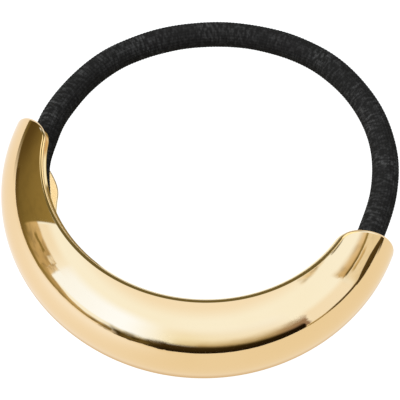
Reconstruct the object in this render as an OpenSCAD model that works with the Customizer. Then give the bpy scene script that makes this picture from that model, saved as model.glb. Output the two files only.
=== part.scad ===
// Hair tie: a crescent metal cuff that carries a closed loop of covered elastic.
// All shapes are worked out round the ring's own centre, with the ring flat in the XY plane
// and the middle of the cuff towards -Y. The last step lays the finished ring on the lower
// rim of the cuff.

/* [Cuff] */
// Radius of the ring, over the outside of the cuff
ring_radius = 30; // [29:0.5:36]
// Angle from the middle of the cuff to each tip
reach = 88; // [78:1:92]
// Height from rim to rim at the middle of the cuff
mid_height = 19.2; // [17.6:0.2:22]
// Height from rim to rim beside the tips
end_height = 17.2; // [15:0.2:17.6]
// Depth of the channel, from its outermost line in to the rims
channel_depth = 6.8; // [6:0.1:7.6]
// Turn along the section's ellipse from the outermost line to a rim
rim_turn = 50; // [44:1:58]
// Thickness of the metal
wall = 1.5; // [1.2:0.1:1.8]
// Radius of the polished edge round the rims and tips
edge_radius = 0.45; // [0.2:0.05:0.5]
// Angle of the ring over which each end rounds off
tip_angle = 13; // [10:0.5:18]
// Curve of the rounded ends: 1 follows an ellipse, and less is squarer
tip_curve = 0.75; // [0.7:0.05:1]

/* [Keepers] */
// Angle from the middle of the cuff to each keeper
keeper_angle = 44; // [30:1:44]
// Length of a keeper along the elastic
keeper_length = 4; // [3:0.5:5]
// Thickness of a keeper's wall
keeper_wall = 1.2; // [1.1:0.1:1.4]
// Gap between a keeper and the elastic
keeper_gap = 0.25; // [0.2:0.05:0.3]
// Depth by which a keeper is sunk into the cuff's wall
keeper_sink = 0.3; // [0.2:0.05:0.5]

/* [Elastic] */
// Thickness of the covered elastic
elastic_thickness = 4.1; // [3.8:0.1:4.3]

/* [Hidden] */

// Counts of the facets
body_steps = 50;
tip_steps = 9;
across_outside = 12;
across_inside = 10;
elastic_sides = 12;
rings_per_stretch = 3;
keeper_facets = 48;

// Length by which a cut runs past the face that it opens
cut_past = 1;

// The section is part of an ellipse, whose two half axes follow from the sizes at the rim
depth_axis = channel_depth / (1 - cos(rim_turn));
end_axis = end_height / 2 / sin(rim_turn);
mid_axis = mid_height / 2 / sin(rim_turn);

// The polished edge is rolled outwards from this turn, so that it ends at the rim
rim_slope = atan2(depth_axis * sin(rim_turn), mid_axis * cos(rim_turn));
edge_share = edge_radius * cos(rim_slope) / (mid_height / 2);
edge_turn = rim_turn * (1 - edge_share);
body_angle = reach - tip_angle;

// A keeper's bore and outside, and the radius of the elastic's middle line inside the cuff
keeper_bore = elastic_thickness / 2 + keeper_gap;
keeper_outside = keeper_bore + keeper_wall;
seat_radius = ring_radius - wall + keeper_sink - keeper_outside;

// Free stretch of the elastic, from inside the left tip over the back to inside the right tip.
// Each row is [x, y] of its middle line, in a ring of the route's own radius.
route_radius = 30;
FREE_ROUTE = [
    [-22.2, -10.8], [-24.6, -5.6], [-25.4, -1], [-25.6, 4], [-24.3, 10.4],
    [-21.8, 16], [-18.3, 20.3], [-14.3, 23.7], [-10, 26.2], [-5.4, 28],
    [-0.4, 29], [5, 29.1], [10.6, 27.9], [16, 25], [20.7, 20.6],
    [24.1, 14.9], [25.8, 8.5], [26, 2], [25.3, -4.6], [22.7, -10.8]
];
// Hidden stretch, which runs back through the cuff on a plain arc
seat_angle = 50;
seat_steps = 8;
SEAT_ROUTE = [for (k = [0 : seat_steps])
    let (a = seat_angle * (1 - 2 * k / seat_steps)) seat_radius * [sin(a), -cos(a)]];
ROUTE = concat(FREE_ROUTE * ring_radius / route_radius, SEAT_ROUTE);

function unit(v) = v / norm(v);
function mirrored(p) = [p.x, p.y, -p.z];

// Half axis of the section along Z at a given angle from the middle
function height_axis(a) = end_axis + (mid_axis - end_axis) * cos(a);

// A point of the outer face, at angle a round the ring and turn t round the section
function face_point(a, t) =
    let (r = ring_radius - depth_axis * (1 - cos(t)))
    [r * sin(a), -r * cos(a), height_axis(a) * sin(t)];

// The outward direction of the outer face there, from its two slopes
function face_normal(a, t) =
    let (
        r = ring_radius - depth_axis * (1 - cos(t)),
        along = [r * cos(a), r * sin(a), (end_axis - mid_axis) * sin(a) * sin(t)],
        across = [
            -depth_axis * sin(t) * sin(a),
            depth_axis * sin(t) * cos(a),
            height_axis(a) * cos(t)
        ]
    )
    unit(cross(along, across));

// Stations along the cuff. Each is [angle round the ring, share of the full turn],
// and the share falls to nothing at the tips, which rounds them off.
function tip_station(k, side) =
    let (b = 90 * k / tip_steps)
    [side * (body_angle + tip_angle * sin(b)), pow(cos(b), tip_curve)];
LEFT_TIP = [for (k = [tip_steps : -1 : 1]) tip_station(k, -1)];
BODY = [for (k = [0 : body_steps]) [body_angle * (2 * k / body_steps - 1), 1]];
RIGHT_TIP = [for (k = [1 : tip_steps]) tip_station(k, 1)];
STATIONS = concat(LEFT_TIP, BODY, RIGHT_TIP);
last = len(STATIONS) - 1;

function rim_point(i) = face_point(STATIONS[i][0], edge_turn * STATIONS[i][1]);
function rim_normal(i) = face_normal(STATIONS[i][0], edge_turn * STATIONS[i][1]);

// Direction of the upper rim, which turns over into the lower rim at each tip
function rim_heading(i) =
    i == 0 ? rim_point(1) - mirrored(rim_point(1)) :
    i == last ? mirrored(rim_point(last - 1)) - rim_point(last - 1) :
    rim_point(i + 1) - rim_point(i - 1);

// Direction in which the metal ends at the upper rim
function rim_way_out(i) = unit(cross(rim_normal(i), rim_heading(i)));

// The rolled edge at the upper rim, from the outer face to the inner face
function edge_points(i) =
    let (
        n = rim_normal(i),
        out = rim_way_out(i),
        top = rim_point(i) - edge_radius * n,
        bottom = rim_point(i) - (wall - edge_radius) * n
    )
    [
        top + edge_radius * unit(n + out),
        top + edge_radius * out,
        bottom + edge_radius * out,
        bottom + edge_radius * unit(out - n)
    ];
edge_count = 4;

// One closed section of the cuff: outer face upwards, upper edge, inner face downwards,
// lower edge
function section_points(i) =
    let (
        a = STATIONS[i][0],
        turn = edge_turn * STATIONS[i][1],
        edge = edge_points(i)
    )
    concat(
        [for (k = [0 : across_outside])
            face_point(a, turn * (2 * k / across_outside - 1))],
        edge,
        [for (k = [0 : across_inside])
            let (t = turn * (1 - 2 * k / across_inside)) face_point(a, t) - wall * face_normal(a, t)],
        [for (k = [edge_count - 1 : -1 : 0]) mirrored(edge[k])]
    );
outside_count = across_outside + 1;
inside_count = across_inside + 1;
section_count = outside_count + edge_count + inside_count + edge_count;

// At a tip the two faces shrink to a point each, and the two edges become one
function tip_points(i) =
    let (a = STATIONS[i][0])
    concat([face_point(a, 0)], edge_points(i), [face_point(a, 0) - wall * face_normal(a, 0)]);
tip_count = edge_count + 2;
function tip_index(j) =
    j < outside_count ? 0 :
    j < outside_count + edge_count ? j - outside_count + 1 :
    j < outside_count + edge_count + inside_count ? tip_count - 1 :
    section_count - j;

function cuff_index(i, j) =
    let (k = j % section_count)
    i == 0 ? tip_index(k) :
    i == last ? tip_count + (last - 1) * section_count + tip_index(k) :
    tip_count + (i - 1) * section_count + k;

CUFF_POINTS = concat(
    tip_points(0),
    [for (i = [1 : last - 1]) each section_points(i)],
    tip_points(last)
);
CUFF_FACES = [
    for (i = [0 : last - 1], j = [0 : section_count - 1])
        let (
            a = cuff_index(i, j),
            b = cuff_index(i, j + 1),
            c = cuff_index(i + 1, j + 1),
            d = cuff_index(i + 1, j)
        )
        each [if (a != b && b != c) [a, b, c], if (a != d && c != d) [a, c, d]]
];

// A smooth closed curve through the route's points
function smooth(p0, p1, p2, p3, u) =
    0.5 * (2 * p1 + (p2 - p0) * u + (2 * p0 - 5 * p1 + 4 * p2 - p3) * u * u
        + (3 * p1 - p0 - 3 * p2 + p3) * u * u * u);
function route_point(k) = ROUTE[(k + len(ROUTE)) % len(ROUTE)];
LOOP = [
    for (k = [0 : len(ROUTE) - 1], s = [0 : rings_per_stretch - 1])
        smooth(route_point(k - 1), route_point(k), route_point(k + 1), route_point(k + 2),
            s / rings_per_stretch)
];
ring_total = len(LOOP);

// One ring of points round the elastic, square to its run
function elastic_ring(k) =
    let (
        run = unit(LOOP[(k + 1) % ring_total] - LOOP[(k + ring_total - 1) % ring_total]),
        side = [-run.y, run.x, 0],
        middle = [LOOP[k].x, LOOP[k].y, 0]
    )
    [for (s = [0 : elastic_sides - 1])
        let (b = 360 * s / elastic_sides)
        middle + elastic_thickness / 2 * (cos(b) * side + [0, 0, sin(b)])];
ELASTIC_POINTS = [for (k = [0 : ring_total - 1]) each elastic_ring(k)];
function elastic_index(k, s) = (k % ring_total) * elastic_sides + s % elastic_sides;
ELASTIC_FACES = [
    for (k = [0 : ring_total - 1], s = [0 : elastic_sides - 1])
        [elastic_index(k, s), elastic_index(k + 1, s), elastic_index(k + 1, s + 1),
            elastic_index(k, s + 1)]
];

// The rims taper in two flat planes, so the ring rests on its lower rim with a slight lean
lean = atan((mid_height - end_height) / 2 / (ring_radius - channel_depth));
function leaned_y(p) = p.y * cos(lean) + p.z * sin(lean);
function leaned_z(p) = p.z * cos(lean) - p.y * sin(lean);
lift = -min([for (p = CUFF_POINTS) leaned_z(p)]);
front_y = min([for (p = CUFF_POINTS) leaned_y(p)]);
back_y = max([for (p = ELASTIC_POINTS) leaned_y(p)]);

module lay_down() {
    translate([0, -(front_y + back_y) / 2, lift]) rotate([-lean, 0, 0]) children();
}

// Moves its children to a place on the elastic's hidden stretch, with Z along the run
module on_seat(angle) {
    rotate([0, 0, angle]) translate([0, -seat_radius, 0]) rotate([0, 90, 0]) children();
}

module shell() {
    polyhedron(points = CUFF_POINTS, faces = CUFF_FACES, convexity = 6);
}

// Short band soldered inside the shell, through which the elastic runs
module keeper(angle) {
    on_seat(angle) difference() {
        cylinder(h = keeper_length, r = keeper_outside, center = true, $fn = keeper_facets);
        cylinder(h = keeper_length + 2 * cut_past, r = keeper_bore, center = true,
            $fn = keeper_facets);
    }
}

module cuff() {
    color([0.93, 0.8, 0.57]) lay_down() {
        shell();
        keeper(keeper_angle);
        keeper(-keeper_angle);
    }
}

module elastic() {
    color([0.1, 0.1, 0.1]) lay_down()
        polyhedron(points = ELASTIC_POINTS, faces = ELASTIC_FACES, convexity = 4);
}

cuff();
elastic();
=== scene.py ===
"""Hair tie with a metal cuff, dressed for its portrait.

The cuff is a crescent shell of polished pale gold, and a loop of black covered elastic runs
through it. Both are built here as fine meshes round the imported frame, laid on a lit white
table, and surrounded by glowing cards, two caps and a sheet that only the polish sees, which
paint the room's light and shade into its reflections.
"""

import logging
import math
from dataclasses import dataclass, field
from enum import Enum
from typing import Any

import bpy
import numpy as np
from mathutils import Matrix, Vector

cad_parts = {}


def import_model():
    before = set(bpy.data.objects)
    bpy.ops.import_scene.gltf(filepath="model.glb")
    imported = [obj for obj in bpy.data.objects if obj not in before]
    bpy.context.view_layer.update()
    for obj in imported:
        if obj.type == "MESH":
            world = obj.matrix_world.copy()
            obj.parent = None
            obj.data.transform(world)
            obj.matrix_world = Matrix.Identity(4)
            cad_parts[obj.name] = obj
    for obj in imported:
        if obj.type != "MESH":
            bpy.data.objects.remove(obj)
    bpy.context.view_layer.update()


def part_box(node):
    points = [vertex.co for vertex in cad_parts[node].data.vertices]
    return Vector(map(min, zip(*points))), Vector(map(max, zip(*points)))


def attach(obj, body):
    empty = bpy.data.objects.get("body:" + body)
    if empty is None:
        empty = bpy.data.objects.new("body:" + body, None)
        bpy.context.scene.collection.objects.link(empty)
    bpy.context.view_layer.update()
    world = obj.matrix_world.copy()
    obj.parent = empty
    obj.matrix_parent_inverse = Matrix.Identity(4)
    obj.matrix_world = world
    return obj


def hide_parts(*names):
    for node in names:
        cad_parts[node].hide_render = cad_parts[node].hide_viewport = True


LOG = logging.getLogger("hair_tie")
MM = 0.001
IMAGE_WIDTH = 400

Colour = tuple[float, float, float]
Place = tuple[float, float, float]
Pair = tuple[float, float]
Points = np.ndarray
UPWARD = np.array([0.0, 0.0, 1.0])
UPSIDE_DOWN = np.array([1.0, 1.0, -1.0])


class Signal:
    """A value in a node tree; an expression on it adds Math nodes."""

    def __init__(self, book: "NodeBook", socket: bpy.types.NodeSocket) -> None:
        """Wrap one output socket of the book's tree."""
        self.book = book
        self.socket = socket

    def _math(self, operation: str, first: Any, second: Any) -> "Signal":
        """Add one Math node and return its result."""
        return self.book.signal("ShaderNodeMath", {"operation": operation}, {0: first, 1: second})

    def __add__(self, other: Any) -> "Signal":
        """Add."""
        return self._math("ADD", self, other)

    __radd__ = __add__

    def __sub__(self, other: Any) -> "Signal":
        """Take other away."""
        return self._math("SUBTRACT", self, other)

    def __rsub__(self, other: Any) -> "Signal":
        """Take this away from other."""
        return self._math("SUBTRACT", other, self)

    def __mul__(self, other: Any) -> "Signal":
        """Multiply."""
        return self._math("MULTIPLY", self, other)

    __rmul__ = __mul__

    def __truediv__(self, other: Any) -> "Signal":
        """Divide by other."""
        return self._math("DIVIDE", self, other)


class NodeBook:
    """The node tree of one material, written from scratch."""

    def __init__(self, name: str) -> None:
        """Make a material with an empty tree.

        Args:
            name: The material's name.
        """
        self.material = bpy.data.materials.new(name)
        self.material.use_nodes = True
        self.tree = self.material.node_tree
        self.tree.nodes.clear()

    def add(self, kind: str, settings: dict[str, Any] | None = None,
            inputs: dict[Any, Any] | None = None) -> bpy.types.Node:
        """Add one node.

        Args:
            kind: The node's type.
            settings: Its own properties, set before the sockets.
            inputs: A value, a signal or a node for each socket, by name or by number.

        Returns:
            The node.
        """
        node = self.tree.nodes.new(kind)
        for key, value in (settings or {}).items():
            setattr(node, key, value)
        for key, value in (inputs or {}).items():
            socket = node.inputs[key]
            if isinstance(value, Signal):
                self.tree.links.new(value.socket, socket)
            elif isinstance(value, bpy.types.Node):
                self.tree.links.new(value.outputs[0], socket)
            else:
                socket.default_value = value
        return node

    def signal(self, kind: str, settings: dict[str, Any] | None = None,
               inputs: dict[Any, Any] | None = None, output: Any = 0) -> Signal:
        """Add one node and return one of its outputs, by name or by number, as a signal."""
        return Signal(self, self.add(kind, settings, inputs).outputs[output])

    def where(self, kind: str) -> Signal:
        """The place on the piece: its "UV" map, or its "Object" coordinates in metres."""
        return self.signal("ShaderNodeTexCoord", None, None, kind)

    def mask(self, name: str) -> Signal:
        """A mask from 0 to 1 that the mesh carries."""
        return self.signal("ShaderNodeAttribute", {"attribute_name": name}, None, "Fac")

    def split(self, vector: Signal) -> tuple[Signal, Signal]:
        """A vector's X and Y."""
        node = self.add("ShaderNodeSeparateXYZ", None, {"Vector": vector})
        return Signal(self, node.outputs["X"]), Signal(self, node.outputs["Y"])

    def noise(self, vector: Signal, scale: float, detail: float = 2.0) -> Signal:
        """Soft noise from 0 to 1, with that many blotches to the unit."""
        return self.signal("ShaderNodeTexNoise", {"noise_dimensions": "3D"},
                           {"Vector": vector, "Scale": scale, "Detail": detail}, "Fac")

    def grain(self, run: Signal, scale: Pair, detail: float = 2.0) -> Signal:
        """Soft noise over a UV map.

        Args:
            run: The UV map.
            scale: Blotches to the unit along and across.
            detail: How many finer layers it has.

        Returns:
            The noise, from 0 to 1.
        """
        stretched = self.signal("ShaderNodeVectorMath", {"operation": "MULTIPLY"},
                                {0: run, 1: (*scale, 0.0)})
        return self.noise(stretched, 1.0, detail)

    def blend(self, share: Any, first: Any, second: Any) -> Signal:
        """Mix two colours; the Mix node's colour sockets are 6 and 7, and 2 on its far side."""
        return self.signal("ShaderNodeMix", {"data_type": "RGBA"},
                           {0: share, 6: opaque(first), 7: opaque(second)}, 2)

    def bump(self, height: Signal, distance: float) -> Signal:
        """Turn a height from 0 to 1 into a normal, with that real depth in metres."""
        return self.signal("ShaderNodeBump", None,
                           {"Strength": 1.0, "Distance": distance, "Height": height}, "Normal")

    def soft_step(self, value: Any, width: float) -> Signal:
        """Rise smoothly from 0 to 1 while the value goes from 0 to a width."""
        return self.signal("ShaderNodeMapRange", {"interpolation_type": "SMOOTHSTEP"},
                           {"Value": value, "From Max": width})

    def glow(self, colour: Any, cover: Signal) -> bpy.types.Material:
        """Finish a card's material.

        Args:
            colour: What it glows with.
            cover: How solid it is, from 0 to 1.

        Returns:
            The material.
        """
        lamp = self.add("ShaderNodeEmission", None, {"Color": colour})
        clear = self.add("ShaderNodeBsdfTransparent")
        return self.finish(self.add("ShaderNodeMixShader", None, {0: cover, 1: clear, 2: lamp}))

    def finish(self, shader: bpy.types.Node) -> bpy.types.Material:
        """Join a shader to the material's output and return the material."""
        self.add("ShaderNodeOutputMaterial", None, {"Surface": shader})
        return self.material


def opaque(colour: Any) -> Any:
    """Give a plain colour an alpha of 1, and leave a signal as it is."""
    return colour if isinstance(colour, Signal) else (*colour, 1.0)


@dataclass(frozen=True)
class PolishedGold:
    """Mirror polish on pale gold plate, satin on the inside."""

    bright: Colour = (0.87, 0.655, 0.37)
    warm: Colour = (0.85, 0.62, 0.325)
    polish: float = 0.03
    smudge: float = 0.03
    satin: float = 0.3
    cloud_scale: float = 90.0
    wave_scale: float = 140.0
    wave_depth: float = 0.004 * MM
    hairline_scale: Pair = (60.0, 9000.0)
    hairline_depth: float = 0.0004 * MM

    def material(self) -> bpy.types.Material:
        """Build the finish from the mesh's UV in metres and its mask of the inside.

        Returns:
            The material.
        """
        book = NodeBook("polished_gold")
        place = book.where("Object")
        clouds = book.noise(place, self.cloud_scale)
        waves = book.noise(place, self.wave_scale, detail=1.0)
        hairlines = book.grain(book.where("UV"), self.hairline_scale)
        height = waves + hairlines * (self.hairline_depth / self.wave_depth)
        rough = self.polish + self.smudge * clouds * hairlines + self.satin * book.mask("inside")
        shader = book.add("ShaderNodeBsdfPrincipled", None, {
            "Base Color": book.blend(clouds, self.bright, self.warm),
            "Metallic": 1.0,
            "Roughness": rough,
            "Normal": book.bump(height, self.wave_depth),
        })
        return book.finish(shader)


@dataclass(frozen=True)
class KnitCover:
    """Matt black yarn, knitted into a tube and worn paler in patches."""

    yarn: Colour = (0.0056, 0.005, 0.0041)
    worn: Colour = (0.08, 0.072, 0.059)
    tint: Colour = (1.0, 0.85, 0.65)
    sheen: float = 0.1
    roughness: float = 0.85
    wear_start: float = 0.42
    patch_scale: float = 200.0
    patch_fade: float = 0.3
    patch_share: float = 0.7
    mark_scale: Pair = (2200.0, 900.0)
    mark_fade: float = 0.25
    fibre_scale: Pair = (5000.0, 12000.0)
    fibre_depth: float = 0.03 * MM

    def material(self) -> bpy.types.Material:
        """Build the finish from the mesh's UV in metres and its mask of the dips, which paints
        shade into the knit's grooves.

        Returns:
            The material.
        """
        book = NodeBook("knit_cover")
        run = book.where("UV")
        clouds = book.noise(book.where("Object"), self.patch_scale, detail=3.0)
        patches = book.soft_step(clouds - self.wear_start, self.patch_fade)
        streaks = book.grain(run, self.mark_scale, detail=4.0)
        marks = book.soft_step(streaks - self.wear_start, self.mark_fade)
        fibres = book.grain(run, self.fibre_scale, detail=3.0)
        wear = marks * fibres * (patches * self.patch_share + (1 - self.patch_share))
        shader = book.add("ShaderNodeBsdfPrincipled", None, {
            # Painted shade: the dip mask keeps the pale wear out of the knit's grooves, so they
            # stay dark.
            "Base Color": book.blend(wear * (1 - book.mask("dip")), self.yarn, self.worn),
            "Roughness": self.roughness,
            "Specular IOR Level": self.sheen,
            "Specular Tint": opaque(self.tint),
            "Normal": book.bump(fibres, self.fibre_depth),
        })
        return book.finish(shader)


@dataclass(frozen=True)
class LitTable:
    """White sheet lit from below and from the room."""

    glow: float = 1.02
    lamp: Colour = (1.0, 1.0, 1.0)
    paper: Colour = (0.05, 0.05, 0.04)
    roughness: float = 0.9

    def material(self) -> bpy.types.Material:
        """Build the finish: a glow, plus a matt surface that takes a faint shadow.

        Returns:
            The material.
        """
        book = NodeBook("lit_table")
        shader = book.add("ShaderNodeBsdfPrincipled", None, {
            "Base Color": opaque(self.paper),
            "Roughness": self.roughness,
            "Specular IOR Level": 0.0,
            "Emission Color": opaque(self.lamp),
            "Emission Strength": self.glow,
        })
        return book.finish(shader)


class Face(Enum):
    """The stretches of the cuff's section, in their order round it."""

    OUTSIDE = 0
    UPPER_EDGE = 1
    INSIDE = 2
    LOWER_EDGE = 3


def put_in_scene(name: str, data: bpy.types.ID) -> bpy.types.Object:
    """Make an object and put it in the scene.

    Args:
        name: The object's name.
        data: Its mesh, lamp or camera.

    Returns:
        The object.
    """
    item = bpy.data.objects.new(name, data)
    bpy.context.scene.collection.objects.link(item)
    return item


def make_mesh(name: str, points: Points, faces: list[tuple[int, ...]],
              normals: Points | None = None) -> bpy.types.Object:
    """Make a smooth mesh object.

    Args:
        name: The object's name.
        points: Its points, in metres.
        faces: Its faces, each a loop of point numbers.
        normals: The true normal at each point, where it is known.

    Returns:
        The object, already in the scene.
    """
    mesh = bpy.data.meshes.new(name)
    mesh.from_pydata(points.tolist(), [], faces)
    mesh.shade_smooth()
    if normals is not None:
        mesh.normals_split_custom_set_from_vertices(normals.tolist())
    mesh.update()
    return put_in_scene(name, mesh)


def set_uv(item: bpy.types.Object, along: Points, across: Points) -> None:
    """Lay a UV map over a mesh, from one pair of values for each point.

    Args:
        item: The mesh object.
        along: Length along the piece in metres, or share of a card's width.
        across: Length across the piece in metres, or share of a card's height.
    """
    mesh = item.data
    corner = np.empty(len(mesh.loops), dtype=np.int32)
    mesh.loops.foreach_get("vertex_index", corner)
    layer = mesh.uv_layers.new(name="run")
    layer.data.foreach_set("uv", np.stack([along[corner], across[corner]], -1).ravel())


def set_mask(item: bpy.types.Object, name: str, values: Points) -> None:
    """Give each point of a mesh a value from 0 to 1, for the material to read."""
    layer = item.data.attributes.new(name, "FLOAT", "POINT")
    layer.data.foreach_set("value", values)


def grid_faces(rows: int, columns: int) -> list[tuple[int, int, int, int]]:
    """Quads of a grid that closes on itself both ways.

    Args:
        rows: Number of rows of points.
        columns: Number of points in a row.

    Returns:
        The quads.
    """
    row, column = np.meshgrid(np.arange(rows), np.arange(columns), indexing="ij")
    ahead, beside = (row + 1) % rows, (column + 1) % columns
    quads = np.stack([row * columns + column, row * columns + beside,
                      ahead * columns + beside, ahead * columns + column], -1)
    return [tuple(quad) for quad in quads.reshape(-1, 4).tolist()]


def adopt(piece: bpy.types.Object, material: bpy.types.Material, node: str) -> None:
    """Give a piece its material and tie it to the frame.

    Args:
        piece: The piece.
        material: Its finish.
        node: The frame node that it stands for.
    """
    piece.data.materials.append(material)
    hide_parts(node)
    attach(piece, "root")
    LOG.info("%s stands for %s, %d faces", piece.name, node, len(piece.data.polygons))


def unit(vectors: Points) -> Points:
    """Scale vectors to length 1."""
    return vectors / np.linalg.norm(vectors, axis=-1, keepdims=True)


@dataclass
class Cuff:
    """Crescent shell with two soldered keepers; sizes in millimetres and degrees."""

    ring_radius: float = 30.0
    reach: float = 88.0
    mid_height: float = 19.2
    end_height: float = 17.2
    channel_depth: float = 6.8
    rim_turn: float = 50.0
    wall: float = 1.5
    edge_radius: float = 0.45
    tip_angle: float = 13.0
    tip_curve: float = 0.75
    body_steps: int = 160
    tip_steps: int = 26
    outside_steps: int = 64
    edge_steps: int = 7
    inside_steps: int = 40
    keeper_angle: float = 44.0
    keeper_length: float = 4.0
    keeper_bore: float = 2.3
    keeper_wall: float = 1.2
    keeper_sink: float = 0.3
    keeper_round: float = 0.3
    keeper_sides: int = 96
    keeper_corner_steps: int = 6
    merge_digits: int = 4
    gold: PolishedGold = field(default_factory=PolishedGold)

    @property
    def depth_axis(self) -> float:
        """Half axis of the section's ellipse towards the ring's middle."""
        return self.channel_depth / (1 - math.cos(math.radians(self.rim_turn)))

    @property
    def mid_axis(self) -> float:
        """Half axis of the section along Z at the cuff's middle."""
        return self.mid_height / 2 / math.sin(math.radians(self.rim_turn))

    @property
    def end_axis(self) -> float:
        """Half axis of the section along Z at a tip."""
        return self.end_height / 2 / math.sin(math.radians(self.rim_turn))

    @property
    def lean(self) -> float:
        """Angle in radians by which the ring leans when it lies on its lower rim."""
        drop = (self.mid_height - self.end_height) / 2
        return math.atan(drop / (self.ring_radius - self.channel_depth))

    @property
    def seat_radius(self) -> float:
        """Radius of the elastic's middle line inside the cuff."""
        outside = self.keeper_bore + self.keeper_wall
        return self.ring_radius - self.wall + self.keeper_sink - outside

    def height_axis(self, angle: Points) -> Points:
        """Half axis of the section along Z at an angle in radians."""
        return self.end_axis + (self.mid_axis - self.end_axis) * np.cos(angle)

    def face_point(self, angle: Points, turn: Points) -> Points:
        """Points of the outer face.

        Args:
            angle: Angles round the ring, in radians.
            turn: Turns round the section, in radians.

        Returns:
            One point for each pair.
        """
        radius = self.ring_radius - self.depth_axis * (1 - np.cos(turn))
        return np.stack([radius * np.sin(angle), -radius * np.cos(angle),
                         self.height_axis(angle) * np.sin(turn)], -1)

    def face_normal(self, angle: Points, turn: Points) -> Points:
        """Outward directions of the outer face.

        Args:
            angle: Angles round the ring, in radians.
            turn: Turns round the section, in radians.

        Returns:
            One direction for each pair.
        """
        radius = self.ring_radius - self.depth_axis * (1 - np.cos(turn))
        fall = (self.end_axis - self.mid_axis) * np.sin(angle) * np.sin(turn)
        along = np.stack([radius * np.cos(angle), radius * np.sin(angle), fall], -1)
        inward = -self.depth_axis * np.sin(turn)
        across = np.stack([inward * np.sin(angle), -inward * np.cos(angle),
                           self.height_axis(angle) * np.cos(turn)], -1)
        return unit(np.cross(along, across))

    def stations(self) -> tuple[Points, Points]:
        """Places of the sections.

        Returns:
            The angle of each section in radians, and its share of the full turn.
        """
        body = math.radians(self.reach - self.tip_angle)
        tip = math.radians(self.tip_angle)
        swing = np.linspace(0.0, math.pi / 2, self.tip_steps + 1)[1:]
        ends = body + tip * np.sin(swing)
        shares = np.maximum(np.cos(swing), 0.0) ** self.tip_curve
        shares[-1] = 0.0
        middle = np.linspace(-body, body, self.body_steps + 1)
        angles = np.concatenate([-ends[::-1], middle, ends])
        return angles, np.concatenate([shares[::-1], np.ones_like(middle), shares])

    def edge_turn(self) -> float:
        """Work out where the polished edge starts to roll over.

        Returns:
            That turn round the section, in radians.
        """
        full = math.radians(self.rim_turn)
        slope = math.atan2(self.depth_axis * math.sin(full), self.mid_axis * math.cos(full))
        return full * (1 - self.edge_radius * math.cos(slope) / (self.mid_height / 2))

    def rim_ways(self, angles: Points, turns: Points) -> tuple[Points, Points, Points]:
        """The upper rim, and the directions in which the metal faces and ends there.

        Args:
            angles: Angle of each section.
            turns: Turn of the rim in each section.

        Returns:
            The rim's points, the face's normals and the directions out of the rim.
        """
        rim = self.face_point(angles, turns)
        normal = self.face_normal(angles, turns)
        before = np.vstack([rim[1] * UPSIDE_DOWN, rim[:-1]])
        after = np.vstack([rim[1:], rim[-2] * UPSIDE_DOWN])
        return rim, normal, unit(np.cross(normal, after - before))

    def edge_rows(self, rim: Points, normal: Points, out: Points) -> tuple[Points, Points]:
        """Roll the upper edge over, from the outer face to the inner one.

        Args:
            rim: The rim's points.
            normal: The face's normals there.
            out: The directions out of the rim.

        Returns:
            Points and normals by section and place.
        """
        steps = np.arange(1, self.edge_steps + 1) / (self.edge_steps + 1) * math.pi / 2
        quarter = [*steps, math.pi / 2]
        rolls = [(1, self.edge_radius, quarter), (-1, self.wall - self.edge_radius, quarter[::-1])]
        points, normals = [], []
        for side, depth, swings in rolls:
            for swing in swings:
                way = side * math.cos(swing) * normal + math.sin(swing) * out
                points.append(rim - depth * normal + self.edge_radius * way)
                normals.append(way)
        return np.stack(points, 1), np.stack(normals, 1)

    def shell_rows(self) -> tuple[Points, Points, Points, Points]:
        """Every section of the shell, as one closed loop of points each.

        Returns:
            Points and normals by section and place, the length round each section, and a mask
            that is 1 on the inside.
        """
        angles, shares = self.stations()
        turns = self.edge_turn() * shares
        outer = np.linspace(-1.0, 1.0, self.outside_steps + 1)
        inner = np.linspace(1.0, -1.0, self.inside_steps + 1)
        angle_out, turn_out = angles[:, None] + 0 * outer, turns[:, None] * outer
        angle_in, turn_in = angles[:, None] + 0 * inner, turns[:, None] * inner
        face_in = self.face_normal(angle_in, turn_in)
        edge, edge_normal = self.edge_rows(*self.rim_ways(angles, turns))
        points = np.concatenate([
            self.face_point(angle_out, turn_out), edge,
            self.face_point(angle_in, turn_in) - self.wall * face_in,
            edge[:, ::-1] * UPSIDE_DOWN], 1)
        normals = np.concatenate([
            self.face_normal(angle_out, turn_out), edge_normal,
            -face_in, edge_normal[:, ::-1] * UPSIDE_DOWN], 1)
        counts = [len(outer), edge.shape[1], len(inner), edge.shape[1]]
        mask = [np.full(count, float(face is Face.INSIDE)) for face, count in zip(Face, counts)]
        steps = np.linalg.norm(np.diff(points, axis=1, prepend=points[:, :1]), axis=-1)
        return points, normals, np.cumsum(steps, 1), np.concatenate(mask)

    def build_shell(self, place: "Rest") -> bpy.types.Object:
        """Build the shell as one closed mesh, with the points of each tip joined up.

        Args:
            place: Where the ring rests.

        Returns:
            The shell.
        """
        points, normals, across, mask = self.shell_rows()
        angles, _ = self.stations()
        rows, columns = points.shape[:2]
        flat = points.reshape(-1, 3)
        first = {}
        owner = np.arange(len(flat))
        for number in [*range(columns), *range(len(flat) - columns, len(flat))]:
            spot = tuple(np.round(flat[number], self.merge_digits))
            owner[number] = first.setdefault(spot, number)
        kept, shared = np.unique(owner, return_inverse=True)
        faces = []
        for row in range(rows - 1):
            for column in range(columns):
                beside = (column + 1) % columns
                loop = [shared[row * columns + column], shared[(row + 1) * columns + column],
                        shared[(row + 1) * columns + beside], shared[row * columns + beside]]
                loop = [int(key) for k, key in enumerate(loop) if key != loop[k - 1]]
                if len(loop) > 2:
                    faces.append(tuple(loop))
        facing = place.turn(normals.reshape(-1, 3)[kept])
        shell = make_mesh("cuff_shell", place.lay(flat[kept]), faces, facing)
        along = np.repeat(angles * self.ring_radius, columns)[kept]
        set_uv(shell, along * MM, across.ravel()[kept] * MM)
        set_mask(shell, "inside", np.tile(mask, rows)[kept])
        return shell

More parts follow.
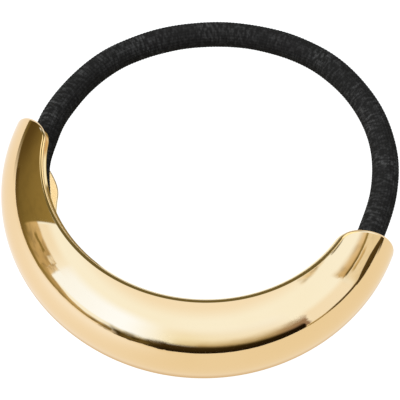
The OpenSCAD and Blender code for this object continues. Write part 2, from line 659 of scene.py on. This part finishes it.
    def build_keeper(self, name: str, side: int, place: "Rest") -> bpy.types.Object:
        """Build one keeper: a short band with rounded edges.

        Args:
            name: The piece's name.
            side: 1 for the side towards +X, -1 for the other.
            place: Where the ring rests.

        Returns:
            The keeper.
        """
        half, soft = self.keeper_length / 2, self.keeper_round
        middle = self.keeper_bore + self.keeper_wall / 2
        reach = self.keeper_wall / 2 - soft
        corners = [(1, 1), (-1, 1), (-1, -1), (1, -1)]
        swings = np.linspace(0.0, math.pi / 2, self.keeper_corner_steps)
        profile = np.array([
            (middle + sx * reach + soft * math.cos(swing + k * math.pi / 2),
             sy * (half - soft) + soft * math.sin(swing + k * math.pi / 2))
            for k, (sx, sy) in enumerate(corners) for swing in swings])
        spin = np.linspace(0.0, 2 * math.pi, self.keeper_sides + 1)[:-1]
        angle = side * math.radians(self.keeper_angle)
        along = np.array([math.cos(angle), math.sin(angle), 0.0])
        outward = np.array([math.sin(angle), -math.cos(angle), 0.0])
        around = np.cos(spin)[:, None] * outward + np.sin(spin)[:, None] * UPWARD
        points = (self.seat_radius * outward + profile[None, :, :1] * around[:, None]
                  + profile[None, :, 1:] * along).reshape(-1, 3)
        faces = grid_faces(len(spin), len(profile))
        keeper = make_mesh(name, place.lay(points), faces)
        length = np.tile(np.linspace(0, 1, len(profile)) * self.keeper_length, len(spin))
        set_uv(keeper, np.repeat(spin * middle, len(profile)) * MM, length * MM)
        return keeper

    def build(self, place: "Rest") -> None:
        """Build and dress every piece of the cuff, in place of its frame node.

        Args:
            place: Where the ring rests.
        """
        pieces = [self.build_shell(place), self.build_keeper("keeper_left", -1, place),
                  self.build_keeper("keeper_right", 1, place)]
        gold = self.gold.material()
        for piece in pieces:
            adopt(piece, gold, "cuff")


@dataclass
class Rest:
    """How the ring lies: it leans on its lower rim, and then it is lifted and centred."""

    lean: float
    shift: Points

    @classmethod
    def of(cls, cuff: Cuff) -> "Rest":
        """Work out the rest from the cuff's own points and the frame's box.

        Args:
            cuff: The cuff.

        Returns:
            The rest.
        """
        points = cls(cuff.lean, np.zeros(3)).turn(cuff.shell_rows()[0].reshape(-1, 3))
        low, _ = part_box("cuff")
        shift = np.array([0.0, low[1] / MM - points[:, 1].min(), low[2] / MM - points[:, 2].min()])
        return cls(cuff.lean, shift)

    def turn(self, vectors: Points) -> Points:
        """Turn directions by the lean."""
        tilt = np.array(Matrix.Rotation(-self.lean, 3, "X"))
        return vectors @ tilt.T

    def lay(self, points: Points) -> Points:
        """Take points from the ring's own millimetres to the frame's metres."""
        return (self.turn(points) + self.shift) * MM


@dataclass
class Elastic:
    """Closed loop of knitted cord; sizes in millimetres."""

    thickness: float = 4.1
    seat_angle: float = 50.0
    seat_steps: int = 8
    wales: int = 24
    columns_per_wale: int = 4
    courses: int = 336
    rings_per_course: int = 3
    groove: float = 0.11
    split: float = 0.045
    stitch: float = 0.035
    uneven: float = 0.03
    uneven_waves: tuple[int, int] = (7, 17)
    curve_steps: int = 40
    cover: KnitCover = field(default_factory=KnitCover)

    def free_route(self) -> list[Pair]:
        """Middle line of the free stretch.

        Returns:
            Its points, from the left tip over the back to the right tip.
        """
        return [
            (-22.2, -10.8), (-24.6, -5.6), (-25.4, -1), (-25.6, 4), (-24.3, 10.4),
            (-21.8, 16), (-18.3, 20.3), (-14.3, 23.7), (-10, 26.2), (-5.4, 28),
            (-0.4, 29), (5, 29.1), (10.6, 27.9), (16, 25), (20.7, 20.6),
            (24.1, 14.9), (25.8, 8.5), (26, 2), (25.3, -4.6), (22.7, -10.8),
        ]

    def middle_line(self, seat_radius: float) -> tuple[Points, Points]:
        """The whole loop's middle line, in even steps.

        Args:
            seat_radius: Radius of the hidden stretch inside the cuff.

        Returns:
            The points, and the length run at each.
        """
        swings = np.radians(self.seat_angle) * np.linspace(1.0, -1.0, self.seat_steps + 1)
        seat = [(seat_radius * math.sin(a), -seat_radius * math.cos(a)) for a in swings]
        route = np.array([*self.free_route(), *seat])
        share = np.linspace(0.0, 1.0, self.curve_steps + 1)[:-1, None, None]
        p0, p1, p2, p3 = (np.roll(route, shift, axis=0) for shift in (1, 0, -1, -2))
        curve = 0.5 * (2 * p1 + (p2 - p0) * share + (2 * p0 - 5 * p1 + 4 * p2 - p3) * share ** 2
                       + (3 * p1 - p0 - 3 * p2 + p3) * share ** 3)
        fine = curve.transpose(1, 0, 2).reshape(-1, 2)
        closed = np.vstack([fine, fine[:1]])
        run = np.concatenate([[0.0], np.cumsum(np.linalg.norm(np.diff(closed, axis=0), axis=1))])
        steps = np.linspace(0.0, run[-1], self.courses * self.rings_per_course + 1)
        line = np.stack([np.interp(steps, run, closed[:, k]) for k in (0, 1)], -1)
        return line[:-1], steps

    def relief(self, rings: int, sides: int) -> Points:
        """Height of the knit over the cord's round form.

        A wale has two legs. A faint split parts them, and a deep groove parts two wales.

        Args:
            rings: Number of rings along the loop.
            sides: Number of points round it.

        Returns:
            One height for each point, never above 0.
        """
        place = (np.arange(sides) % self.columns_per_wale) / self.columns_per_wale
        leg = np.abs(np.abs(place - 0.5) - 0.25) / 0.25
        centre = (np.abs(place - 0.5) < 0.25).astype(float)
        dip = leg * (self.split * centre + self.groove * (1 - centre))
        climb = 0.5 - np.abs(place - 0.5)
        course = np.arange(rings)[:, None] / self.rings_per_course
        wave = np.cos(2 * math.pi * (course - climb[None, :]))
        loop = 2 * math.pi * np.arange(rings) / rings
        drift = sum(np.sin(waves * loop) for waves in self.uneven_waves)
        return -dip[None, :] - self.stitch * (1 - wave) - self.uneven * (1 + drift[:, None] / 2)

    def build(self, cuff: Cuff, place: Rest) -> None:
        """Build and dress the elastic, in place of its frame node.

        Args:
            cuff: The cuff that it runs through.
            place: Where the ring rests.
        """
        line, steps = self.middle_line(cuff.seat_radius)
        rings, sides = len(line), self.wales * self.columns_per_wale
        tangent = unit(np.roll(line, -1, axis=0) - np.roll(line, 1, axis=0))
        side = np.stack([-tangent[:, 1], tangent[:, 0], np.zeros(rings)], -1)
        spin = np.arange(sides) / sides * 2 * math.pi
        height = self.relief(rings, sides)
        radius = self.thickness / 2 + height
        around = np.cos(spin)[None, :, None] * side[:, None] + np.sin(spin)[None, :, None] * UPWARD
        centre = np.concatenate([line, np.zeros((rings, 1))], -1)
        points = (centre[:, None] + radius[..., None] * around).reshape(-1, 3)
        cord = make_mesh("elastic_cord", place.lay(points), grid_faces(rings, sides))
        # The dip mask is the knit's depth, 1 in its deepest grooves, where the cover paints shade.
        set_mask(cord, "dip", ((height.max() - height) / np.ptp(height)).ravel())
        girth = spin * self.thickness / 2
        set_uv(cord, np.repeat(steps[:-1], sides) * MM, np.tile(girth, rings) * MM)
        adopt(cord, self.cover.material(), "elastic")
        LOG.info("the elastic's loop is %.1f mm long", steps[-1])


@dataclass
class Card:
    """A curved studio card round the ring, seen only in the polish.

    Angles are in degrees from -Y towards +X, heights in millimetres above the table. The
    colours are those of the bottom and the top edge, each from left to right. Fades are shares
    of the width or the height, ragged frays the edges and mottle thins the glow in blotches.
    Towards the right, rise lifts the bottom edge and fall lowers the top one, while arch
    lowers the top edge at both ends.
    """

    name: str
    left: float
    right: float
    low: float
    high: float
    foot: tuple[Colour, Colour]
    head: tuple[Colour, Colour]
    fade_low: float = 0.02
    fade_high: float = 0.02
    fade_left: float = 0.02
    fade_right: float = 0.02
    ragged: float = 0.0
    mottle: float = 0.0
    arch: float = 0.0
    rise: float = 0.0
    fall: float = 0.0
    distance: float = 147.0
    columns: int = 24
    side_scale: float = 60.0
    end_scale: float = 90.0
    mottle_scale: float = 80.0
    mottle_start: float = 0.4
    mottle_fade: float = 0.3
    detail: float = 3.0

    def material(self) -> bpy.types.Material:
        """Build the glow, which fades into nothing at the edges.

        Returns:
            The material.
        """
        book = NodeBook(self.name)
        across, up = book.split(book.where("UV"))
        place = book.where("Object")
        side = across + (book.noise(place, self.side_scale, self.detail) - 0.5) * self.ragged
        end = up + (book.noise(place, self.end_scale, self.detail) - 0.5) * self.ragged
        sides = book.soft_step(side, self.fade_left) * book.soft_step(1 - side, self.fade_right)
        ends = book.soft_step(end, self.fade_low) * book.soft_step(1 - end, self.fade_high)
        plain = book.blend(up, book.blend(across, *self.foot), book.blend(across, *self.head))
        clouds = book.noise(place, self.mottle_scale, self.detail) - self.mottle_start
        blotches = 1 - book.soft_step(clouds, self.mottle_fade) * self.mottle
        colour = book.signal("ShaderNodeVectorMath", {"operation": "SCALE"},
                             {0: plain, "Scale": blotches})
        return book.glow(colour, sides * ends)

    def build(self, middle: Points) -> None:
        """Stand the card round the ring's middle and hide it from all but the polish.

        Args:
            middle: The ring's middle, in metres.
        """
        share = np.linspace(0.0, 1.0, self.columns + 1)
        angles = np.radians(self.left + (self.right - self.left) * share)
        bottom = self.low + self.rise * share
        top = self.high - self.fall * share - self.arch * (2 * share - 1) ** 2
        ring = self.distance * np.stack([np.sin(angles), -np.cos(angles)], -1)
        points = np.vstack([np.column_stack([ring, height]) for height in (bottom, top)]) * MM
        points[:, :2] += middle[:2]
        count = len(share)
        faces = [(k, k + 1, count + k + 1, count + k) for k in range(count - 1)]
        card = make_mesh(self.name, points, faces)
        set_uv(card, np.tile(share, 2), np.repeat([0.0, 1.0], count))
        keep_to_polish(card, self.material())


@dataclass
class Cap:
    """A piece of the room's ceiling, as a cap of a wide sphere that only the polish sees.

    Its middle is given in degrees from -Y towards +X and up from the table, its size as the
    angle from the middle to the edge, and its distance in millimetres.
    """

    name: str
    azimuth: float
    elevation: float
    half_angle: float
    shade: Colour
    distance: float
    soft: float
    rings: int = 16
    sides: int = 48

    def material(self) -> bpy.types.Material:
        """Build the glow, which fades into nothing towards the rim.

        Returns:
            The material.
        """
        book = NodeBook(self.name)
        outward, _ = book.split(book.where("UV"))
        return book.glow(opaque(self.shade), book.soft_step(1 - outward, self.soft))

    def build(self, middle: Points) -> None:
        """Hang the cap over the ring's middle and hide it from all but the polish.

        Args:
            middle: The ring's middle, in metres.
        """
        turn = Matrix.Rotation(math.radians(self.azimuth), 3, "Z")
        turn = turn @ Matrix.Rotation(math.radians(90 - self.elevation), 3, "X")
        swing = np.arange(1, self.rings + 1) / self.rings * math.radians(self.half_angle)
        spin = np.arange(self.sides) / self.sides * 2 * math.pi
        wheel = np.stack([np.cos(spin), np.sin(spin), np.zeros(self.sides)], -1)
        rings = [math.sin(a) * wheel + math.cos(a) * UPWARD for a in swing]
        points = np.vstack([UPWARD, *rings]) @ np.array(turn).T * self.distance * MM
        points[:, :2] += middle[:2]
        faces = []
        for k in range(self.sides):
            beside = (k + 1) % self.sides
            faces.append((0, k + 1, beside + 1))
            for row in range(self.rings - 1):
                inner, outer = 1 + row * self.sides, 1 + (row + 1) * self.sides
                faces.append((inner + k, outer + k, outer + beside, inner + beside))
        cap = make_mesh(self.name, points, faces)
        rows = (np.arange(len(points)) + self.sides - 1) // self.sides
        set_uv(cap, rows / self.rings, np.zeros(len(points)))
        keep_to_polish(cap, self.material())


@dataclass(frozen=True)
class Spot:
    """A round spot of painted light or painted shade on the sheet; its reach and its place from
    the ring's middle in millimetres.
    """

    colour: Colour
    reach: float
    fade: float
    centre: Pair = (0.0, 0.0)

    def cover(self, place: Signal, middle: Points) -> Signal:
        """Work out where the spot lies.

        Args:
            place: The point on the sheet.
            middle: The ring's middle, in metres.

        Returns:
            1 on the spot and 0 off it.
        """
        target = (*(middle[:2] + np.array(self.centre) * MM), 0.0)
        apart = place.book.signal("ShaderNodeVectorMath", {"operation": "DISTANCE"},
                                  {0: place, 1: target}, "Value")
        return place.book.soft_step(1 - apart / (self.reach * MM), self.fade)


def keep_to_polish(card: bpy.types.Object, glow: bpy.types.Material) -> None:
    """Dress a card and hide it from all but reflections.

    Args:
        card: The card, cap or sheet.
        glow: Its material.
    """
    card.data.materials.append(glow)
    card.visible_camera = card.visible_diffuse = card.visible_shadow = False
    card.visible_transmission = card.visible_volume_scatter = False


@dataclass
class Studio:
    """Lit table, cool dome, cards and camera round the ring's middle, in metres."""

    middle: Points
    table_reach: float = 1500.0
    sheet_lift: float = 0.02
    # The floor's reflection, painted lighter on the left and darker and warmer on the right.
    sheet_lit_left: Colour = (1.02, 1.01, 1.03)
    sheet_shaded_right: Colour = (0.965, 0.935, 0.88)
    sheet_turn: float = -30.0
    sheet_fade: float = 50.0
    dome: Colour = (1.11, 1.31, 1.7)
    sun: Colour = (0.72, 0.8, 0.96)
    sun_energy: float = 9.0
    sun_spread: float = 50.0
    sun_side: Place = (-0.6, -0.12, 0.8)
    lens: float = 104.94
    sensor: float = 36.0
    pixel_shift: float = 0.5
    card_step: float = 0.4
    eye: Place = (28.118, -76.005, 155.024)
    back: Place = (0.15826, -0.42307, 0.89217)
    upright: Place = (-0.31239, 0.83569, 0.45170)
    table: LitTable = field(default_factory=LitTable)

    def cards(self) -> list[Card]:
        """The glowing cards round the table, which paint the room's reflections in the polish.

        Returns:
            The cards; each later one will stand a little nearer.
        """
        umber, bark, brown = (0.07, 0.047, 0.015), (0.1, 0.068, 0.022), (0.2, 0.16, 0.055)
        ochre, tan, sand = (0.36, 0.29, 0.11), (0.62, 0.5, 0.3), (0.85, 0.72, 0.5)
        straw, peach, butter = (0.91, 0.88, 0.78), (1.05, 1.12, 1.28), (1.0, 1.1, 1.0)
        black, pearl, white = (0.012, 0.007, 0.003), (1.12, 1.4, 2.1), (1.2, 1.6, 2.8)
        cream, rose, amber = (1.4, 1.38, 1.2), (0.34, 0.25, 0.22), (0.6, 0.44, 0.2)
        return [
            Card("soft_panel", -51, 8, 26, 104, (pearl, white), (pearl, white),
                 fade_low=0.08, fade_high=0.45, fade_left=0.05, fade_right=0.4),
            Card("peach_panel", -72, -42, 52, 100, (peach, peach), (peach, peach),
                 fade_low=0.1, fade_high=0.5, fade_right=0.7),
            Card("yellow_haze", 0, 64, 30, 96, (butter, peach), (peach, pearl),
                 fade_high=0.5, fade_left=0.25, fade_right=0.2),
            Card("peach_haze", 60, 90, 8, 62, (peach, peach), (peach, peach),
                 fade_high=0.4, fade_left=0.3, fade_right=0.1),
            Card("straw_haze", 86, 118, 6, 66, (straw, straw), (peach, straw),
                 fade_high=0.3, fade_left=0.2, mottle=0.1),
            Card("tan_block", -77, -52, 8, 62, (ochre, tan), (sand, tan),
                 fade_high=0.12, ragged=0.15, mottle=0.3),
            Card("block_shade", -78, -60, 8, 34, (brown, ochre), (ochre, tan),
                 fade_high=0.6, fade_right=0.5, ragged=0.2, mottle=0.3),
            Card("block_stroke", -70, -57, 38, 48, (brown, ochre), (ochre, brown),
                 fade_low=0.3, fade_high=0.3, fade_left=0.3, fade_right=0.15, ragged=0.6,
                 mottle=0.5, rise=3, fall=-3),
            Card("block_window", -57, -52, 44, 58, (straw, peach), (peach, straw),
                 fade_low=0.15, fade_high=0.15, fade_left=0.15, fade_right=0.15, ragged=0.3,
                 mottle=0.5),
            Card("far_board", -170, -112, 0, 56, (brown, umber), (ochre, bark),
                 fade_high=0.3, fade_left=0.4),
            Card("brown_board", -118, -72, 1, 112, (bark, brown), (ochre, ochre),
                 fade_low=0.01, fade_left=0.01, mottle=0.1, rise=4),
            Card("board_shade", -118, -86, 1, 56, (bark, bark), (bark, brown),
                 fade_high=0.7, fade_right=0.6),
            Card("board_foot", -120, -84, 0, 10, (brown, brown), (bark, brown),
                 fade_right=0.6, fade_high=0.3, distance=104),
            Card("tan_post", -53, -48, 22, 56, (tan, sand), (sand, peach),
                 fade_high=0.2, fade_left=0.2, fade_right=0.3, ragged=0.5, mottle=0.6),
            Card("tan_low", -55, -24, 7, 31, (ochre, ochre), (tan, sand),
                 fade_high=0.2, fade_right=0.3, ragged=0.4, mottle=0.35, fall=15),
            Card("thin_line", -94, -40, 2, 16, (bark, ochre), (bark, ochre),
                 fade_high=0.4, fade_right=0.3, ragged=0.1, rise=4),
            Card("low_streak", -38, -16, 8, 21, (ochre, ochre), (sand, tan),
                 fade_high=0.5, fade_left=0.3, ragged=0.5, mottle=0.5),
            Card("mottled_low", -22, 12, 3, 33, (umber, bark), (ochre, brown),
                 fade_high=0.5, fade_left=0.25, fade_right=0.3, ragged=0.5, mottle=0.7),
            Card("band_haze", 4, 66, 14, 56, (ochre, brown), (sand, tan),
                 fade_high=0.8, fade_right=0.12, fade_left=0.3, ragged=0.2),
            Card("band_smear", 44, 67, 8, 52, (rose, rose), (tan, rose),
                 fade_high=0.6, fade_left=0.7, fade_right=0.08, ragged=0.3),
            Card("dark_band", -5, 64, 4, 40, (black, black), (bark, black),
                 fade_high=0.4, fade_left=0.15, ragged=0.1, fall=14),
            Card("low_strip", 62, 100, 3, 9, (ochre, brown), (tan, brown),
                 fade_high=0.3, fade_left=0.1, ragged=0.1),
            Card("low_wire", 72, 100, 3, 11, (umber, umber), (brown, bark),
                 fade_high=0.3, fade_left=0.25, ragged=0.1),
            Card("dark_lump", 89, 112, 1, 21, (umber, umber), (bark, bark),
                 fade_high=0.1, fade_left=0.05, arch=17, ragged=0.1),
            Card("lump_foot", 101, 116, 0, 12, (umber, umber), (bark, bark),
                 fade_high=0.3, fade_left=0.4, distance=112),
            Card("tan_streak", 88, 116, 46, 84, (amber, sand), (straw, peach),
                 fade_low=0.08, fade_high=0.6, fade_left=0.08, ragged=0.15, mottle=0.2, fall=14),
            Card("streak_line", 89, 114, 45, 53, (umber, ochre), (brown, ochre),
                 fade_low=0.2, fade_high=0.5, fade_left=0.1, ragged=0.2),
            Card("small_streak", 92, 108, 36, 45, (ochre, tan), (sand, sand),
                 fade_low=0.3, fade_high=0.3, fade_left=0.2, fade_right=0.4, ragged=0.3),
            Card("hook_line", 101, 120, 106, 112, (brown, umber), (brown, umber),
                 fade_low=0.3, fade_high=0.3, fade_left=0.15, fade_right=0.1, ragged=0.5, rise=-18,
                 fall=18),
            Card("high_streak", 78, 104, 112, 142, (sand, straw), (straw, peach),
                 fade_low=0.4, fade_high=0.4, fade_left=0.3, fade_right=0.3, ragged=0.3,
                 mottle=0.4),
            Card("white_screen", 118, 150, 50, 230, (cream, cream), (cream, cream),
                 fade_low=0.2, fade_high=0.2, fade_left=0.2, fade_right=0.3),
            Card("back_board", 140, 200, 14, 66, (bark, bark), (brown, brown),
                 fade_low=0.3, fade_high=0.3, fade_left=0.1, fade_right=0.3),
            Card("tip_sail", 140, 186, 50, 190, (cream, cream), (cream, cream),
                 fade_low=0.1, fade_high=0.2, fade_left=0.1, fade_right=0.3),
            Card("left_sail", -144, -106, 86, 190, (cream, cream), (cream, cream),
                 fade_low=0.1, fade_high=0.3, fade_left=0.2, fade_right=0.2),
        ]

    def caps(self) -> list[Cap]:
        """The room above the cards.

        Returns:
            Its dark part, which draws the line along the rims, and a warm ceiling.
        """
        return [
            Cap("hood", -160, 64, 51, (0.17, 0.15, 0.065), 800, 0.08),
            Cap("warm_ceiling", 10, 90, 52, (1.06, 1.12, 1.27), 900, 0.3),
        ]

    def spots(self) -> list[Spot]:
        """The spots of painted light and shade in the sheet's floor reflection.

        Returns:
            The spots, each laid over those before it.
        """
        # Painted light and shade in the floor's reflection: a pool of window light at the front
        # left, painted shade tinted gold in a ring under the cuff, painted light on the floor
        # inside it, and a painted dark patch towards the back left.
        painted_window_light, ring_shade = (1.09, 1.18, 1.45), (0.72, 0.54, 0.31)
        painted_hub_light, painted_dark_pool = (1.1, 1.18, 1.15), (0.3, 0.24, 0.1)
        return [
            Spot(painted_window_light, reach=100, fade=0.8, centre=(-70.0, -100.0)),
            Spot(ring_shade, reach=34, fade=0.15),
            Spot(painted_hub_light, reach=25, fade=0.12),
            Spot(painted_dark_pool, reach=13, fade=0.15, centre=(-15.0, 6.0)),
        ]

    def make_square(self, name: str, height: float) -> bpy.types.Object:
        """Make a level square as wide as the table.

        Args:
            name: The object's name.
            height: Its height, in millimetres.

        Returns:
            The square.
        """
        corners = np.array([(-1, -1), (1, -1), (1, 1), (-1, 1)])
        points = np.column_stack([corners * self.table_reach, np.full(len(corners), height)]) * MM
        return make_mesh(name, points, [(0, 1, 2, 3)])

    def build_table(self) -> None:
        """Lay the table under the ring."""
        table = self.make_square("table", 0.0)
        table.data.materials.append(self.table.material())

    def build_sheet(self) -> None:
        """Lay a glowing sheet just over the table, seen only in the polish, which paints the
        floor's light and shade into its reflection.
        """
        sheet = self.make_square("sheet", self.sheet_lift)
        book = NodeBook("sheet")
        place = book.where("Object")
        across, _ = book.split(place)
        # Painted light: the floor's reflection is lighter on the left and darker and warmer on the
        # right.
        share = book.soft_step(across - self.sheet_turn * MM, self.sheet_fade * MM)
        colour = book.blend(share, self.sheet_lit_left, self.sheet_shaded_right)
        for spot in self.spots():
            colour = book.blend(spot.cover(place, self.middle), colour, spot.colour)
        lamp = book.add("ShaderNodeEmission", None, {"Color": colour})
        keep_to_polish(sheet, book.finish(lamp))

    def build_dome(self) -> None:
        """Light the room evenly with a cool dome."""
        world = bpy.data.worlds.new("dome")
        world.use_nodes = True
        background = world.node_tree.nodes["Background"]
        background.inputs["Color"].default_value = opaque(self.dome)
        bpy.context.scene.world = world

    def build_sun(self) -> None:
        """Light the yarn from above and from the left; the polish doesn't see this lamp."""
        data = bpy.data.lights.new("window_light", "SUN")
        data.color = self.sun
        data.energy = self.sun_energy
        data.angle = math.radians(self.sun_spread)
        lamp = put_in_scene("window_light", data)
        lamp.rotation_mode = "QUATERNION"
        lamp.rotation_quaternion = Vector(self.sun_side).to_track_quat("Z", "Y")
        lamp.visible_glossy = False

    def build_camera(self) -> None:
        """Set the camera in front of the ring, above it and to its right."""
        data = bpy.data.cameras.new("camera")
        data.lens = self.lens
        data.sensor_width = self.sensor
        data.clip_start = MM
        data.shift_x = -self.pixel_shift / IMAGE_WIDTH
        data.shift_y = self.pixel_shift / IMAGE_WIDTH
        eye = Vector(self.middle) + Vector(self.eye) * MM
        back, upright = Vector(self.back), Vector(self.upright)
        turn = Matrix((upright.cross(back), upright, back)).transposed().normalized()
        camera = put_in_scene("camera", data)
        camera.matrix_world = Matrix.Translation(eye) @ turn.to_4x4()
        bpy.context.scene.camera = camera

    def build(self) -> None:
        """Set up the whole studio."""
        self.build_camera()
        self.build_table()
        self.build_sheet()
        self.build_dome()
        self.build_sun()
        for number, card in enumerate(self.cards()):
            card.distance -= number * self.card_step
            card.build(self.middle)
        for cap in self.caps():
            cap.build(self.middle)
        bpy.context.scene.view_settings.view_transform = "Standard"


def main() -> None:
    """Build the studio, the cuff and the elastic, in that order."""
    logging.basicConfig(level=logging.INFO, format="%(name)s: %(message)s")
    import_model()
    cuff = Cuff()
    place = Rest.of(cuff)
    Studio(place.shift * MM).build()
    cuff.build(place)
    Elastic().build(cuff, place)


if __name__ == "__main__":
    main()
